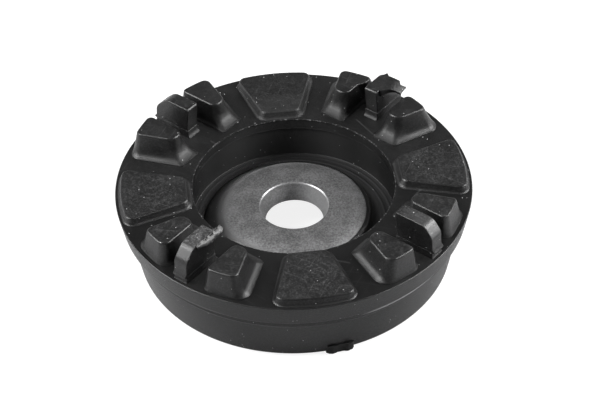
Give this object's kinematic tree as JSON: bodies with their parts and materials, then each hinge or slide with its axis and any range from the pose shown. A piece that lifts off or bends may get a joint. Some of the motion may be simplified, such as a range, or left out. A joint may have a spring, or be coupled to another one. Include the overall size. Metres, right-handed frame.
{
  "type": "round rubber suspension mount bushing",
  "caption": "Round rubber suspension mount with raised pads, blocks and ribs on top, a deep recess, and a steel plate with a tapered bore bonded in its web.",
  "frame": {"origin": "on the ring's axis, at the flat underside of the rubber ring", "axes": "+Z along the axis, towards the pads and ribs; +X through the middle of one wide pad"},
  "size_m": [0.0876, 0.0876, 0.029],
  "materials": {
    "moulded_rubber": "black moulded rubber, satin, with light scuffs and dust",
    "plate_steel": "dull grey phosphated steel, finely mottled"
  },
  "bodies": {
    "root": {"rubber_body": "moulded_rubber", "centre_plate": "plate_steel"}
  },
  "joints": []
}
